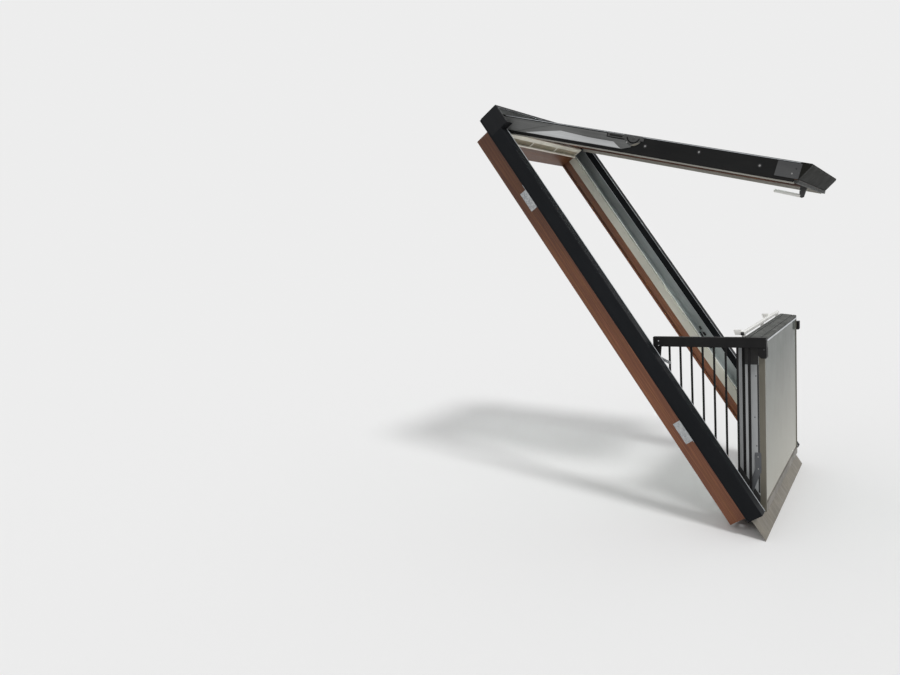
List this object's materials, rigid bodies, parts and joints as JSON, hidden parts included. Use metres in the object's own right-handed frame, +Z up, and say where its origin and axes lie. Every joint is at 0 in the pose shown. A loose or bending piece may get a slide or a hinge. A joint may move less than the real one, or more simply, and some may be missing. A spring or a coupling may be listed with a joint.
{
  "type": "balcony roof window",
  "caption": "Roof window with an upper sash pushed out from the head and a lower sash standing upright as a small balcony front with a side railing.",
  "frame": {"origin": "middle of the underside of the sill bracket's flange, where the window rests on the roof", "axes": "+Z up, the outside faces -Y and the roof rises towards +Y at 57 degrees, +X to the right seen from outside"},
  "size_m": [1.35, 1.7358, 2.2635],
  "materials": {
    "timber": "stained",
    "light_strip": "satin",
    "grey_profile": "satin",
    "dark_cladding": "satin",
    "apron_sheet": "matte",
    "galvanised": "galvanised",
    "window_glass": "clear",
    "silver_profile": "satin",
    "black_seal": "matte",
    "bronze_edge": "satin",
    "white_bar": "gloss",
    "railing_black": "satin",
    "arm_metal": "satin"
  },
  "bodies": {
    "root": {"frame_sill": "timber", "frame_head": "timber", "frame_jamb_left": "timber", "frame_jamb_right": "timber", "lower_sash_bottom_rail": "timber", "lower_sash_top_rail": "timber", "lower_sash_timbers": "timber", "upper_sash_stile_left": "timber", "upper_sash_stile_right": "timber", "upper_sash_top_rail": "timber", "upper_sash_bottom_rail": "timber", "rebate_strips": "light_strip", "vent_grille": "light_strip", "upper_sash_side_strips": "light_strip", "side_profile_left": "grey_profile", "side_profile_right": "grey_profile", "head_profile": "grey_profile", "lower_sash_top_cap": "grey_profile", "upper_sash_drip_rail": "grey_profile", "side_cladding_left": "dark_cladding", "side_cladding_right": "dark_cladding", "head_casing": "dark_cladding", "side_flashings": "dark_cladding", "upper_sash_cover_left": "dark_cladding", "upper_sash_cover_right": "dark_cladding", "upper_sash_top_cover": "dark_cladding", "upper_sash_bottom_cover": "dark_cladding", "apron_flashing": "apron_sheet", "sill_bracket": "galvanised", "jamb_brackets": "galvanised", "lower_glass": "window_glass", "upper_glass": "window_glass", "lower_sash_stile_left": "silver_profile", "lower_sash_stile_right": "silver_profile", "arm_braces": "silver_profile", "railing_lever_left": "silver_profile", "lower_sash_seals": "black_seal", "lower_sash_end_caps": "black_seal", "lower_sash_edges": "bronze_edge", "lower_sash_bottom_cover": "bronze_edge", "lower_handle_bar": "white_bar", "upper_handle": "white_bar", "handrail_left": "railing_black", "balusters_left": "railing_black", "baluster_channel_left": "railing_black", "handrail_tongues": "railing_black", "railing_pivots": "railing_black", "railing_link_left": "railing_black", "head_hinges": "railing_black", "lifting_arm_left": "arm_metal", "lifting_arm_right": "arm_metal", "pivot_hinge_left": "arm_metal", "pivot_hinge_right": "arm_metal", "upper_sash_corner_brackets": "arm_metal", "lower_hinges": "arm_metal"}
  },
  "joints": []
}
